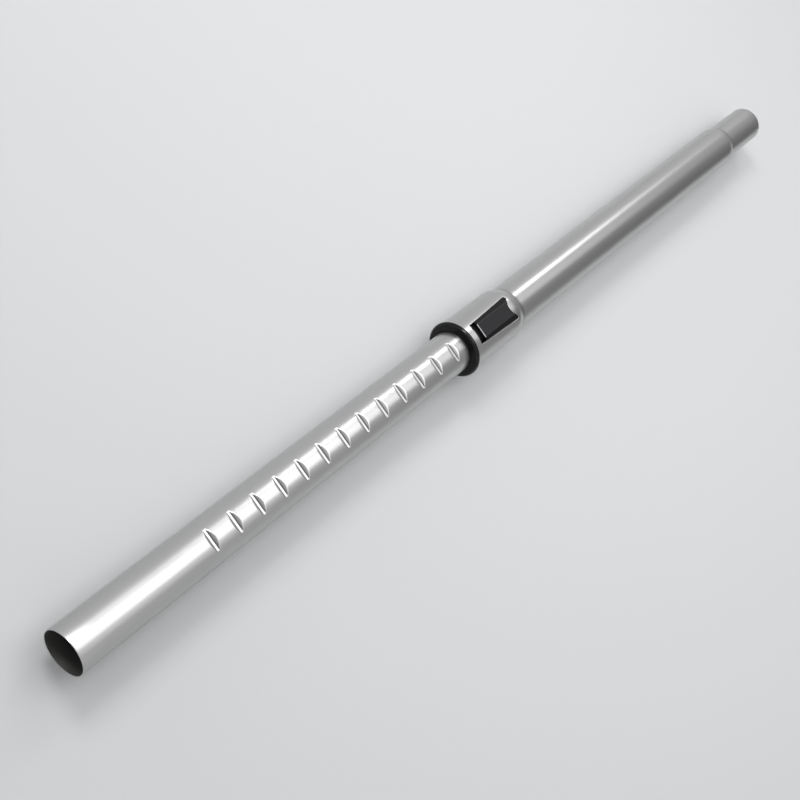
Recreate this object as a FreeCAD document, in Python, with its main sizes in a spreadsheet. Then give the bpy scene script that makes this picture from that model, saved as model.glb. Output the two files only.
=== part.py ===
# Telescopic suction wand, lying along X with its button up. A notched inner tube slides in a flared
# outer tube, and a roller under a sprung slide button drops into one notch at a time to hold it.
import FreeCAD
import Part
import Sketcher
import math
import os
import re

# Driving sizes in millimetres and degrees. Stations run along the wand from the inner tube's free end.
SIZES = (
    ("inner_diameter", 35.0, "outside of the inner tube"),
    ("inner_wall", 0.7, "sheet of the inner tube"),
    ("inner_lip", 0.3, "broken edge at the inner tube's free end"),
    ("notch_first", 119.5, "free end to the first notch"),
    ("notch_pitch", 22.7, "notch to notch"),
    ("notch_count", 15, "notches in the row, the last one under the roller"),
    ("notch_depth", 2.17, "crown to notch floor"),
    ("notch_width", 7.2, "notch along the tube, at the crown"),
    ("notch_floor", 2.1, "flat at the bottom of a notch"),
    ("retract_steps", 12, "notches passed from longest to shortest"),
    ("tube_room", 1.35, "inner tube to the bore of the barrel"),
    ("neck_diameter", 34.8, "outside of the necked handle end"),
    ("outer_wall", 0.8, "sheet of the outer tube"),
    ("bulge_length", 58.5, "mouth to the start of the shoulder"),
    ("shoulder_length", 10.5, "shoulder from bulge to barrel"),
    ("barrel_length", 384.0, "shoulder to neck"),
    ("neck_taper", 8.0, "step from barrel to neck"),
    ("neck_length", 63.0, "plain handle end"),
    ("collar_proud", 1.7, "rim of the collar above the bulge"),
    ("collar_face_proud", 0.2, "edge of the collar's front face above the bulge"),
    ("collar_rim", 4.5, "collar in front of the mouth"),
    ("collar_dish", 0.9, "lean of the collar's front face"),
    ("collar_land", 1.8, "straight part of the collar's rim"),
    ("collar_spigot", 3.0, "collar inside the mouth"),
    ("collar_bore_gap", 0.3, "collar round the inner tube"),
    ("collar_lip", 2.2, "collar in front of the wiper"),
    ("wiper_height", 1.75, "wiper ring, bore to rim"),
    ("slide_fit", 0.08, "radial running gap on the inner tube"),
    ("seat_gap", 0.05, "gap between pieces that seat in each other"),
    ("sleeve_floor", 1.6, "sleeve under the button channel"),
    ("sleeve_front_wall", 2.2, "sleeve in front of the button channel"),
    ("sleeve_cone", 7.0, "sleeve taper inside the shoulder"),
    ("channel_play", 1.0, "angle left free beside the button's flanges"),
    ("lock_setback", 30.8, "collar front to the roller"),
    ("window_setback", 12.0, "collar front to the window"),
    ("window_length", 52.3, "window along the tube, at its corners"),
    ("window_near_width", 17.8, "window width at the collar end"),
    ("window_far_width", 21.8, "window width at the handle end"),
    ("window_tongue", 4.9, "reach of the tongue at the window's handle end"),
    ("tongue_width", 17.0, "foot of the tongue"),
    ("window_near_round", 0.8, "corner radius at the collar end"),
    ("window_far_round", 1.6, "corner radius at the handle end"),
    ("button_travel", 5.5, "slide of the button"),
    ("button_gap", 0.35, "gap round the button in the window"),
    ("button_proud", 0.3, "button top above the bulge"),
    ("panel_width", 12.7, "flat thumb panel"),
    ("bevel_angle", 33.0, "slope of the button's sides"),
    ("flange_angle", 38.0, "half angle of the button's flanges"),
    ("flange_height", 2.02, "thickness of the button's flanges"),
    ("flange_gap", 0.3, "flange under the outer tube"),
    ("flange_lift", 0.1, "flange over the sleeve"),
    ("flange_end", 61.0, "collar front to the end of the flanges"),
    ("spring_room", 16.2, "channel front to the flanges, filled by a spring"),
    ("spring_angle", 32.0, "springs off the crown"),
    ("spring_diameter", 2.9, "outside of a spring"),
    ("spring_wire", 0.4, "spring wire"),
    ("spring_turns", 6, "turns in a spring"),
    ("spring_gap", 0.25, "groove round a spring"),
    ("roller_diameter", 3.2, "lock roller"),
    ("roller_length", 14.0, "lock roller across the wand"),
    ("roller_edge", 0.3, "chamfer on the roller's ends"),
    ("roller_gap", 0.3, "roller over the notch floor, and clear at its ends"),
    ("roller_play", 0.2, "roller in the sleeve's slot"),
    ("roller_lift", 2.1, "rise of the roller at full button travel"),
    ("ramp_gap", 0.15, "roller under the ramp"),
    ("bush_length", 15.0, "tail bush on the inner tube"),
    ("bush_lip", 1.2, "bush behind the end of the inner tube"),
    ("bush_fit", 0.1, "radial running gap in the outer tube"),
    ("bush_edge", 0.5, "chamfer on the bush"),
    ("ring_groove", 3.0, "groove for the tail ring"),
    ("ring_setback", 6.0, "end of the inner tube to the groove"),
    ("ring_depth", 0.8, "depth of the groove"),
    ("ring_fit", 0.06, "radial gap of the tail ring in the outer tube"),
    ("stop_gap", 0.5, "left between the stops at each end of the travel"),
)

# Sizes that follow from the driving ones. A radius is measured from the wand's axis.
FORMULAS = {
    "inner_r": "inner_diameter / 2",
    "inner_bore_r": "inner_r - inner_wall",
    "barrel_bore_r": "inner_r + tube_room",
    "barrel_r": "barrel_bore_r + outer_wall",
    "bulge_bore_r": "flange_r + flange_gap",
    "bulge_r": "bulge_bore_r + outer_wall",
    "neck_r": "neck_diameter / 2",
    "neck_bore_r": "neck_r - outer_wall",
    "collar_r": "bulge_r + collar_proud",
    "collar_face_r": "bulge_r + collar_face_proud",
    "sleeve_bore_r": "inner_r + slide_fit",
    "sleeve_r": "bulge_bore_r - seat_gap",
    "skirt_r": "barrel_bore_r - seat_gap",
    "channel_r": "sleeve_bore_r + sleeve_floor",
    "lock_x": "notch_first + (notch_count - 1) * notch_pitch",
    "collar_x": "lock_x - lock_setback",
    "mouth_x": "collar_x + collar_rim",
    "sleeve_x": "mouth_x + collar_spigot",
    "bulge_x": "mouth_x + bulge_length",
    "shoulder_x": "bulge_x + shoulder_length",
    "neck_x": "shoulder_x + barrel_length",
    "spigot_x": "neck_x + neck_taper",
    "overall_length": "spigot_x + neck_length",
    "tail_x": "neck_x - retract_steps * notch_pitch - stop_gap - bush_lip",
    "bush_x": "tail_x - bush_length",
    "skirt_x": "bush_x - stop_gap",
    "shoulder_drop": "bulge_r - barrel_r",
    "shoulder_round": "(shoulder_length ^ 2 + shoulder_drop ^ 2) / (2 * shoulder_drop)",
    "neck_drop": "barrel_r - neck_r",
    "neck_round": "(neck_taper ^ 2 + neck_drop ^ 2) / (2 * neck_drop)",
    "notch_floor_z": "inner_r - notch_depth",
    "notch_slope": "(notch_width - notch_floor) / (2 * notch_depth)",
    "notch_reach": "inner_r + inner_wall",
    "window_x": "collar_x + window_setback",
    "window_end_x": "window_x + window_length",
    "window_lean": "(window_far_width - window_near_width) / 2 / window_length",
    "lean_length": "sqrt(1 + window_lean ^ 2)",
    "tongue_round": "((tongue_width / 2) ^ 2 + window_tongue ^ 2) / (2 * window_tongue)",
    "channel_x": "sleeve_x + sleeve_front_wall",
    "channel_end_x": "collar_x + flange_end + stop_gap",
    "button_x": "window_x + stop_gap + button_travel",
    "button_top_z": "bulge_r + button_proud",
    "flange_x": "channel_x + spring_room",
    "flange_end_x": "collar_x + flange_end",
    "flange_floor_r": "channel_r + flange_lift",
    "flange_r": "flange_floor_r + flange_height",
    "wiper_r": "sleeve_bore_r + wiper_height",
    "spring_side": "asin((spring_diameter / 2 + 2 * spring_gap) / spring_axis_r) / 1 deg",
    "spring_bore_r": "spring_diameter / 2 - spring_wire",
    "spring_axis_r": "bulge_bore_r - seat_gap - spring_gap - spring_diameter / 2",
    "roller_r": "roller_diameter / 2",
    "roller_z": "notch_floor_z + roller_gap + roller_r",
    "roller_top_z": "roller_z + roller_lift + roller_r",
    "ramp_slope": "roller_lift / button_travel",
    "bush_r": "barrel_bore_r - bush_fit",
}

doc = FreeCAD.newDocument("telescopic_wand")
sheet = doc.addObject("Spreadsheet::Sheet", "Sizes")
for row, (alias, size, note) in enumerate(SIZES, start=1):
    sheet.set(f"A{row}", alias)
    sheet.set(f"B{row}", str(size))
    sheet.set(f"C{row}", note)
    sheet.setAlias(f"B{row}", alias)
doc.recompute()
ALIASES = {alias for alias, size, note in SIZES}
PIECES = []
SIDES = (("left", ""), ("right", "-"))


def bind(text):
    """Write a formula of named sizes as an expression on the sheet."""

    def expand(match):
        word = match.group(0)
        if word in FORMULAS:
            return "(" + bind(FORMULAS[word]) + ")"
        return "Sizes." + word if word in ALIASES else word

    return re.sub(r"[a-z_]+", expand, text)


def number(text):
    """The present value of a formula."""
    return float(sheet.evalExpression(bind(text)))


def place(piece, x="0", y="0", z="0"):
    """Lay a piece down: the wand's middle at X = 0 and the collar's lowest point at Z = 0."""
    piece.setExpression("Placement.Base.x", bind(f"{x} - overall_length / 2"))
    piece.setExpression("Placement.Base.y", bind(y))
    piece.setExpression("Placement.Base.z", bind(f"{z} + collar_r"))


def add_piece(piece, label, **offset):
    """Name a finished sub-part, lay it down and list it for export."""
    piece.Label = label
    place(piece, **offset)
    PIECES.append(piece)


def new_sketch(body, name, plane):
    sketch = body.newObject("Sketcher::SketchObject", name)
    support = next(item for item in body.Origin.OriginFeatures if item.Role == plane)
    sketch.AttachmentSupport = [(support, "")]
    sketch.MapMode = "FlatFace"
    return sketch


def arc_between(start, end, radius, side):
    """The short arc from start to end whose centre lies to the left or right of the way travelled."""
    chord = end - start
    left = FreeCAD.Vector(-chord.y, chord.x, 0).normalize()
    toward = 1 if side == "left" else -1
    sagitta = radius - math.sqrt(radius ** 2 - (chord.Length / 2) ** 2)
    return Part.Arc(start, (start + end) / 2 - left * toward * sagitta, end)


def end_at(sketch, side, spot):
    """Which end of a sketch line or arc, 1 or 2, lies at a spot."""
    first = sketch.getPoint(side, 1).distanceToPoint(spot)
    return 1 if first < sketch.getPoint(side, 2).distanceToPoint(spot) else 2


def hold(sketch, kind, name, formula, *where):
    """One dimension of a sketch, bound to the sheet."""
    index = sketch.addConstraint(Sketcher.Constraint(kind, *where, number(formula)))
    sketch.renameConstraint(index, name)
    sketch.setExpression(f"Constraints.{name}", bind(formula))


def outline(sketch, corners):
    """A closed outline. A corner is (across, up), or (across, up, radius, side) where an arc leaves it."""
    spots = [FreeCAD.Vector(number(corner[0]), number(corner[1]), 0) for corner in corners]
    base = sketch.GeometryCount
    for index, corner in enumerate(corners):
        start, end = spots[index], spots[(index + 1) % len(spots)]
        if len(corner) == 2:
            sketch.addGeometry(Part.LineSegment(start, end), False)
        else:
            sketch.addGeometry(arc_between(start, end, number(corner[2]), corner[3]), False)
    for index, corner in enumerate(corners):
        side, before = base + index, base + (index - 1) % len(corners)
        here = (side, end_at(sketch, side, spots[index]))
        sketch.addConstraint(
            Sketcher.Constraint("Coincident", before, end_at(sketch, before, spots[index]), *here)
        )
        hold(sketch, "DistanceX", f"across_{side}", corner[0], -1, 1, *here)
        hold(sketch, "DistanceY", f"up_{side}", corner[1], -1, 1, *here)
        if len(corner) == 4:
            hold(sketch, "Radius", f"round_{side}", corner[2], side)


def circle(sketch, radius, across="0", up="0"):
    centre = FreeCAD.Vector(number(across), number(up), 0)
    index = sketch.addGeometry(Part.Circle(centre, FreeCAD.Vector(0, 0, 1), number(radius)), False)
    hold(sketch, "DistanceX", f"across_{index}", across, -1, 1, index, 3)
    hold(sketch, "DistanceY", f"up_{index}", up, -1, 1, index, 3)
    hold(sketch, "Radius", f"round_{index}", radius, index)


def turn(body, name, corners, angle="360", cut=False):
    """Turn an outline in the XZ plane about the wand's axis, evenly to both sides of the crown."""
    sketch = new_sketch(body, name + "_outline", "XZ_Plane")
    outline(sketch, corners)
    feature = body.newObject("PartDesign::Groove" if cut else "PartDesign::Revolution", name)
    feature.Profile = sketch
    feature.ReferenceAxis = (sketch, ["H_Axis"])
    feature.Midplane = True
    feature.setExpression("Angle", bind(angle))
    doc.recompute()
    return feature


def pocket(body, name, sketch, side_type, reverse=False, length=None):
    """Cut a sketch through a body, and make sure that it took material away."""
    before = body.Shape.Volume
    feature = body.newObject("PartDesign::Pocket", name)
    feature.Profile = sketch
    feature.SideType = side_type
    feature.Reversed = reverse
    if length is None:
        feature.Type = "ThroughAll"
    else:
        feature.setExpression("Length", bind(length))
    doc.recompute()
    if not body.Shape.Volume < before:
        raise ValueError(f"{name} cut nothing")
    return feature


def new_body(name):
    return doc.addObject("PartDesign::Body", name)


def notch_row(body, grow):
    """Press the row of notches across the top of a bar, each face moved outward by grow."""
    floor_half = f"notch_floor / 2 - notch_slope * {grow} + {grow} * sqrt(1 + notch_slope ^ 2)"
    top_half = f"{floor_half} + notch_slope * (notch_reach - notch_floor_z + {grow})"
    sketch = new_sketch(body, body.Name + "_notch_outline", "XZ_Plane")
    outline(
        sketch,
        (
            (f"notch_first - ({floor_half})", f"notch_floor_z - {grow}"),
            (f"notch_first + {floor_half}", f"notch_floor_z - {grow}"),
            (f"notch_first + {top_half}", "notch_reach"),
            (f"notch_first - ({top_half})", "notch_reach"),
        ),
    )
    notch = pocket(body, body.Name + "_notch", sketch, "Symmetric")
    row = body.newObject("PartDesign::LinearPattern", body.Name + "_notches")
    row.Originals = [notch]
    row.Direction = (sketch, ["H_Axis"])
    row.setExpression("Length", bind("(notch_count - 1) * notch_pitch"))
    row.setExpression("Occurrences", bind("notch_count"))
    body.Tip = row
    doc.recompute()


def make_inner_tube():
    """A thin tube whose notches are pressed, so that each one stands out inside the bore."""
    skin = new_body("inner_skin")
    turn(
        skin,
        "inner_bar",
        (
            ("0", "0"),
            ("0", "inner_r - inner_lip"),
            ("inner_lip", "inner_r"),
            ("tail_x", "inner_r"),
            ("tail_x", "0"),
        ),
    )
    notch_row(skin, "0")
    bore = new_body("inner_bore")
    turn(
        bore,
        "bore_bar",
        (
            ("-inner_lip", "0"),
            ("-inner_lip", "inner_bore_r"),
            ("tail_x + inner_lip", "inner_bore_r"),
            ("tail_x + inner_lip", "0"),
        ),
    )
    notch_row(bore, "inner_wall")
    tube = doc.addObject("Part::Cut", "inner_tube")
    tube.Base = skin
    tube.Tool = bore
    add_piece(tube, "inner_tube")


def step_corners(start_x, start_r, length, drop, rounding):
    """Outside corners of a step that rounds over to a crease, and the same step inside the sheet."""
    bore_rounding = f"({rounding} - outer_wall)"
    bore_length = f"sqrt({drop} * (2 * {bore_rounding} - {drop}))"
    outside = (
        (start_x, start_r, rounding, "right"),
        (f"{start_x} + {length}", f"{start_r} - {drop}"),
    )
    inside = (
        (f"{start_x} + {bore_length}", f"{start_r} - {drop} - outer_wall", bore_rounding, "left"),
        (start_x, f"{start_r} - outer_wall"),
    )
    return outside, inside


def window_outline(near, near_round, far_round, gap="0", travel="0"):
    """The button's window in plan from a near station, shrunk so that a gap is left over a travel."""
    far = f"(window_end_x - {gap})"
    near_half, far_half = (
        f"(window_near_width / 2 + window_lean * ({end} - {travel} - window_x) - {gap} * lean_length)"
        for end in (near, far)
    )
    near_cut = f"{near_round} * (lean_length - window_lean)"
    far_cut = f"{far_round} * (lean_length + window_lean)"
    near_mid = f"{near} + {near_cut} / lean_length"
    near_side = f"({near_half} + window_lean * {near_cut} / lean_length)"
    far_mid = f"{far} - {far_cut} / lean_length"
    far_side = f"({far_half} - window_lean * {far_cut} / lean_length)"
    tongue = f"sqrt((tongue_round + {gap}) ^ 2 - (tongue_round - window_tongue + {gap}) ^ 2)"
    return (
        (near, f"-({near_half} - {near_cut})", near_round, "left"),
        (near_mid, f"-{near_side}"),
        (far_mid, f"-{far_side}", far_round, "left"),
        (far, f"-({far_half} - {far_cut})"),
        (far, f"-{tongue}", f"tongue_round + {gap}", "right"),
        (far, tongue),
        (far, f"{far_half} - {far_cut}", far_round, "left"),
        (far_mid, far_side),
        (near_mid, near_side, near_round, "left"),
        (near, f"{near_half} - {near_cut}"),
    )


def make_outer_tube():
    """Flared mouth, plain barrel and necked handle end in one sheet, with the button's window."""
    body = new_body("outer_tube")
    shoulder_out, shoulder_in = step_corners(
        "bulge_x", "bulge_r", "shoulder_length", "shoulder_drop", "shoulder_round"
    )
    neck_out, neck_in = step_corners("neck_x", "barrel_r", "neck_taper", "neck_drop", "neck_round")
    wall = (
        ("mouth_x", "bulge_r"),
        *shoulder_out,
        *neck_out,
        ("overall_length", "neck_r"),
        ("overall_length", "neck_bore_r"),
        *neck_in,
        *shoulder_in,
        ("mouth_x", "bulge_bore_r"),
    )
    turn(body, "sheet", wall)
    sketch = new_sketch(body, "window_outline", "XY_Plane")
    outline(sketch, window_outline("window_x", "window_near_round", "window_far_round"))
    pocket(body, "window", sketch, "One side", reverse=True)
    add_piece(body, "outer_tube")


def box_corners(low, high, floor, roof):
    return (low, floor), (high, floor), (high, roof), (low, roof)


def make_guide_sleeve():
    """Moulded sleeve in the bulge: it guides the inner tube and carries the button and the roller."""
    body = new_body("guide_sleeve")
    turn(
        body,
        "sleeve",
        (
            ("sleeve_x", "sleeve_bore_r"),
            ("sleeve_x", "sleeve_r"),
            ("bulge_x", "sleeve_r"),
            ("bulge_x + sleeve_cone", "skirt_r"),
            ("skirt_x", "skirt_r"),
            ("skirt_x", "sleeve_bore_r"),
        ),
    )
    channel = box_corners("channel_x", "channel_end_x", "channel_r", "bulge_r")
    turn(body, "channel", channel, angle="2 * (flange_angle + channel_play)", cut=True)
    ears = box_corners("channel_end_x", "window_end_x", "flange_r - button_gap", "bulge_r")
    turn(body, "ear_room", ears, angle="2 * (flange_angle + channel_play)", cut=True)
    slot = new_sketch(body, "roller_slot_outline", "XY_Plane")
    slot_half_x, slot_half_y = "roller_r + roller_play", "roller_length / 2 + roller_gap"
    outline(
        slot,
        box_corners(
            f"lock_x - ({slot_half_x})",
            f"lock_x + {slot_half_x}",
            f"-({slot_half_y})",
            slot_half_y,
        ),
    )
    pocket(body, "roller_slot", slot, "One side", reverse=True)
    for side, sign in SIDES:
        groove = new_sketch(body, f"spring_groove_{side}_outline", "YZ_Plane")
        groove.setExpression("AttachmentOffset.Base.z", bind("channel_x"))
        circle(groove, "spring_diameter / 2 + spring_gap", *spring_axis(sign))
        length = "spring_room + button_travel"
        pocket(body, f"spring_groove_{side}", groove, "One side", reverse=True, length=length)
    add_piece(body, "guide_sleeve")


def make_collar():
    """Black ring that closes the mouth: a leaning face, a sloping rim and a spigot inside the bulge."""
    body = new_body("collar_ring")
    turn(
        body,
        "collar",
        (
            ("collar_x", "inner_r + collar_bore_gap"),
            ("collar_x + collar_dish", "collar_face_r"),
            ("mouth_x - collar_land", "collar_r"),
            ("mouth_x", "collar_r"),
            ("mouth_x", "sleeve_r"),
            ("sleeve_x", "sleeve_r"),
            ("sleeve_x", "wiper_r + seat_gap"),
            ("collar_x + collar_lip", "wiper_r + seat_gap"),
            ("collar_x + collar_lip", "inner_r + collar_bore_gap"),
        ),
    )
    add_piece(body, "collar_ring")


def make_wiper():
    """Felt ring held between the collar and the sleeve, which keeps dust off the inner tube."""
    body = new_body("wiper_ring")
    low, high = "collar_x + collar_lip + seat_gap", "sleeve_x - seat_gap"
    turn(body, "wiper", box_corners(low, high, "sleeve_bore_r", "wiper_r"))
    add_piece(body, "wiper_ring")


def make_button():
    """Slide button: flanges under the outer tube, a thumb pad in the window and a ramp for the roller."""
    body = new_body("slide_button")
    middle = box_corners("button_x", "flange_end_x", "flange_floor_r", "flange_r")
    turn(body, "middle", middle, angle="2 * (spring_angle - spring_side)")
    flange = box_corners("flange_x", "flange_end_x", "flange_floor_r", "flange_r")
    turn(body, "flanges", flange, angle="2 * flange_angle")
    pad_outline = new_sketch(body, "pad_outline", "XY_Plane")
    far_round = "(window_far_round - button_gap)"
    pad_corners = window_outline(
        "button_x", "window_near_round", far_round, gap="button_gap", travel="button_travel"
    )
    outline(pad_outline, pad_corners)
    pad = body.newObject("PartDesign::Pad", "pad")
    pad.Profile = pad_outline
    pad.setExpression("Length", bind("button_top_z"))
    doc.recompute()
    hollow = new_sketch(body, "underside_outline", "YZ_Plane")
    circle(hollow, "flange_floor_r")
    pocket(body, "underside", hollow, "One side", reverse=True)
    ears = box_corners("flange_end_x", "window_end_x", "0", "flange_r")
    turn(body, "ear_underside", ears, cut=True)
    bevels = new_sketch(body, "bevel_outline", "YZ_Plane")
    run = "(window_far_width / 2 - panel_width / 2)"
    for sign in ("", "-"):
        outline(
            bevels,
            (
                (f"{sign}panel_width / 2", "button_top_z"),
                (f"{sign}window_far_width / 2", "button_top_z"),
                (f"{sign}window_far_width / 2", f"button_top_z - {run} * tan(bevel_angle)"),
            ),
        )
    pocket(body, "bevels", bevels, "One side", reverse=True)
    make_ramp(body)
    add_piece(body, "slide_button")


def make_ramp(body):
    """Cut the roller's room into the button, with a sloping roof that presses the roller down."""
    reach = "(roller_r + ramp_gap)"
    length = "sqrt(1 + ramp_slope ^ 2)"
    roof_start = f"roller_z + {reach} * {length}"
    near, far = "-(roller_r + roller_gap)", "button_travel + roller_r + roller_gap"
    top = "roller_top_z + ramp_gap"
    sketch = new_sketch(body, "ramp_outline", "XZ_Plane")
    outline(
        sketch,
        (
            (f"lock_x + {near}", "notch_floor_z"),
            (f"lock_x + {far}", "notch_floor_z"),
            (f"lock_x + {far}", top),
            (f"lock_x + ({top} - ({roof_start})) / ramp_slope", top),
            (f"lock_x + {near}", f"{roof_start} + {near} * ramp_slope"),
        ),
    )
    pocket(body, "ramp", sketch, "Symmetric", length="roller_length + 2 * roller_gap")


def make_roller():
    """Steel roller that lies across the wand, in the sleeve's slot and the notch below it."""
    body = new_body("lock_roller")
    half, small = "roller_length / 2", "roller_r - roller_edge"
    sketch = new_sketch(body, "roller_outline", "YZ_Plane")
    outline(
        sketch,
        (
            (f"-{half}", "0"),
            (half, "0"),
            (half, small),
            (f"{half} - roller_edge", "roller_r"),
            (f"-{half} + roller_edge", "roller_r"),
            (f"-{half}", small),
        ),
    )
    roller = body.newObject("PartDesign::Revolution", "roller")
    roller.Profile = sketch
    roller.ReferenceAxis = (sketch, ["H_Axis"])
    add_piece(body, "lock_roller", x="lock_x", z="roller_z")


def spring_axis(sign):
    """Where a spring's axis crosses the YZ plane."""
    return f"{sign}spring_axis_r * sin(spring_angle)", "spring_axis_r * cos(spring_angle)"


def make_springs():
    """Two springs of square wire under the bulge, one on each side, that push the button back."""
    for side, sign in SIDES:
        label = f"return_spring_{side}"
        body = new_body(label)
        sketch = new_sketch(body, label + "_wire", "XZ_Plane")
        outline(sketch, box_corners("0", "spring_wire", "spring_bore_r", "spring_bore_r + spring_wire"))
        coil = body.newObject("PartDesign::AdditiveHelix", label + "_coil")
        coil.Profile = sketch
        coil.ReferenceAxis = (sketch, ["H_Axis"])
        coil.Mode = "height-turns-angle"
        coil.setExpression("Height", bind("spring_room - 2 * seat_gap - spring_wire"))
        coil.setExpression("Turns", bind("spring_turns"))
        across, up = spring_axis(sign)
        add_piece(body, label, x="channel_x + seat_gap", y=across, z=up)


def make_tail():
    """Bush on the hidden end of the inner tube, and the ring in its groove that seals the gap."""
    bush = new_body("tail_bush")
    groove_end, groove_r = "tail_x - ring_setback", "bush_r - ring_depth"
    turn(
        bush,
        "bush",
        (
            ("bush_x", "inner_r"),
            ("bush_x", "bush_r - bush_edge"),
            ("bush_x + bush_edge", "bush_r"),
            (f"{groove_end} - ring_groove", "bush_r"),
            (f"{groove_end} - ring_groove", groove_r),
            (groove_end, groove_r),
            (groove_end, "bush_r"),
            ("tail_x + bush_lip - bush_edge", "bush_r"),
            ("tail_x + bush_lip", "bush_r - bush_edge"),
            ("tail_x + bush_lip", "inner_bore_r"),
            ("tail_x", "inner_bore_r"),
            ("tail_x", "inner_r"),
        ),
    )
    add_piece(bush, "tail_bush")
    ring = new_body("tail_ring")
    low, high = f"{groove_end} - ring_groove + seat_gap", f"{groove_end} - seat_gap"
    turn(ring, "ring", box_corners(low, high, f"{groove_r} + seat_gap", "barrel_bore_r - ring_fit"))
    add_piece(ring, "tail_ring")


make_inner_tube()
make_outer_tube()
make_guide_sleeve()
make_collar()
make_wiper()
make_button()
make_roller()
make_springs()
make_tail()
doc.recompute()
for item in doc.Objects:
    if "Invalid" in item.State or "Error" in item.State:
        raise ValueError(f"{item.Label} failed: {item.State}")
for piece in PIECES:
    if piece.Shape.isNull() or not piece.Shape.isValid():
        raise ValueError(f"{piece.Label} has no sound shape")
os.makedirs("parts", exist_ok=True)
for piece in PIECES:
    piece.Shape.exportStep(f"parts/{piece.Label}.step")
    print(piece.Label, len(piece.Shape.Solids), round(piece.Shape.Volume), piece.Shape.BoundBox)
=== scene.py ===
# %% [markdown]
# # A telescopic suction wand
# The wand is two thin chromed tubes, one sliding in the other, with a black collar at the joint and a
# black thumb button that lets go of a row of notches. The CAD model gives every size and place. Here
# the four pieces that show most get finer surfaces of the same size, and every piece gets its finish.

import bmesh
import bpy
import numpy as np
from mathutils import Matrix, Vector


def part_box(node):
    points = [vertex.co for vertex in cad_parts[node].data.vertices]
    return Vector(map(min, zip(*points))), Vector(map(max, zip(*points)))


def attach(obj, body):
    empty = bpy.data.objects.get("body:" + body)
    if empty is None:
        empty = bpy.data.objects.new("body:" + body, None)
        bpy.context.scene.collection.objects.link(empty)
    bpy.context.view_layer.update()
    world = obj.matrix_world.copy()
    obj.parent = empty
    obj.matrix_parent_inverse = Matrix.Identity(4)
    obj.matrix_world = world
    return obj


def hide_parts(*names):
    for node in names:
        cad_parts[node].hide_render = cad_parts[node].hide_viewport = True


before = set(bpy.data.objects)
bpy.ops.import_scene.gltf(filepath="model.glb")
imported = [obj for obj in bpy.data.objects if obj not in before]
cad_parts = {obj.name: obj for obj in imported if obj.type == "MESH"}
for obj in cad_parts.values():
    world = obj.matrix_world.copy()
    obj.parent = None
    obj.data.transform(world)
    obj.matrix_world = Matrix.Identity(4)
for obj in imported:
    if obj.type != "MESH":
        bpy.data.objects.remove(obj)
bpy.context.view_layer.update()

# %% [markdown]
# ## One way of naming places
# A wand is easiest to describe as a lathe turner would: how far along it, how far from its axis, and
# how far round from the crown, where the notches are. Stations are in millimetres from the free end of
# the inner tube. One function turns these into metres in the shared frame, so no piece is moved later,
# and another reads off the CAD model where a piece begins and ends.

# %% Stations, radii and angles
MM = 0.001
HALF_LENGTH = round(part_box("outer_tube")[1][0] / MM, 3)  # the origin lies under the wand's middle
AXIS_HEIGHT = 24.1  # the collar's radius: the collar lies on the floor


def wand_point(station, radius, angle):
    """Point at a station along the axis: radius times sine across, radius times cosine up."""
    station, radius, angle = np.broadcast_arrays(station, radius, angle)
    across = radius * np.sin(angle)
    up = radius * np.cos(angle) + AXIS_HEIGHT
    return np.stack([station - HALF_LENGTH, across, up], axis=-1) * MM


def node_ends(node):
    """Stations of a CAD node's two ends: its box along X, to the micrometre, plus half the length."""
    low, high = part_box(node)
    return round(low[0] / MM, 3) + HALF_LENGTH, round(high[0] / MM, 3) + HALF_LENGTH


def soft_min(first, second, blend):
    """The smaller of two heights, rounded off where they come within blend of each other."""
    near = np.maximum(blend - np.abs(first - second), 0) / blend
    return np.minimum(first, second) - near ** 2 * blend / 4


print("half length:", HALF_LENGTH, "inner tube:", node_ends("inner_tube"))

# %% [markdown]
# ## From a grid of points to a mesh
# Each surface is a grid: rows along it and columns round it. Neighbouring points make a four-sided face,
# and a grid that comes back to its start is wrapped. A piece may be several grids whose edges coincide.
# Merging the shared points closes it, and then its normals can be turned outwards.

# %% Mesh from grids
WELD = 2e-6  # metres: points this close are one point
SHARP = np.radians(25)


def grid_faces(rows, columns, first, wrap_rows, wrap_columns):
    """Four corners of every cell; a wrapped direction joins the last line of points to the first."""
    row, column = np.meshgrid(
        np.arange(rows if wrap_rows else rows - 1),
        np.arange(columns if wrap_columns else columns - 1),
        indexing="ij",
    )
    below, right = (row + 1) % rows, (column + 1) % columns
    corners = ((row, column), (row, right), (below, right), (below, column))
    return np.stack([line * columns + place for line, place in corners], axis=-1).reshape(-1, 4) + first


def piece_from_grids(name, *grids):
    """One object from grids of (points, wrap_rows, wrap_columns), welded, with normals outwards."""
    points = np.concatenate([grid[0].reshape(-1, 3) for grid in grids])
    counts = np.cumsum([0] + [grid[0].shape[0] * grid[0].shape[1] for grid in grids])
    faces = np.concatenate(
        [grid_faces(*grid[0].shape[:2], first, *grid[1:]) for grid, first in zip(grids, counts)]
    )
    mesh = bpy.data.meshes.new(name)
    mesh.from_pydata(points.tolist(), [], faces.tolist())
    shell = bmesh.new()
    shell.from_mesh(mesh)
    bmesh.ops.remove_doubles(shell, verts=shell.verts, dist=WELD)
    bmesh.ops.dissolve_degenerate(shell, edges=shell.edges, dist=WELD)
    bmesh.ops.recalc_face_normals(shell, faces=shell.faces)
    open_edges = sum(not edge.is_manifold for edge in shell.edges)
    shell.to_mesh(mesh)
    shell.free()
    mesh.polygons.foreach_set("use_smooth", np.ones(len(mesh.polygons), dtype=bool))
    mesh.set_sharp_from_angle(angle=SHARP)
    piece = bpy.data.objects.new(name, mesh)
    bpy.context.scene.collection.objects.link(piece)
    print(name, "faces:", len(mesh.polygons), "open edges:", open_edges)
    return piece


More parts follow.
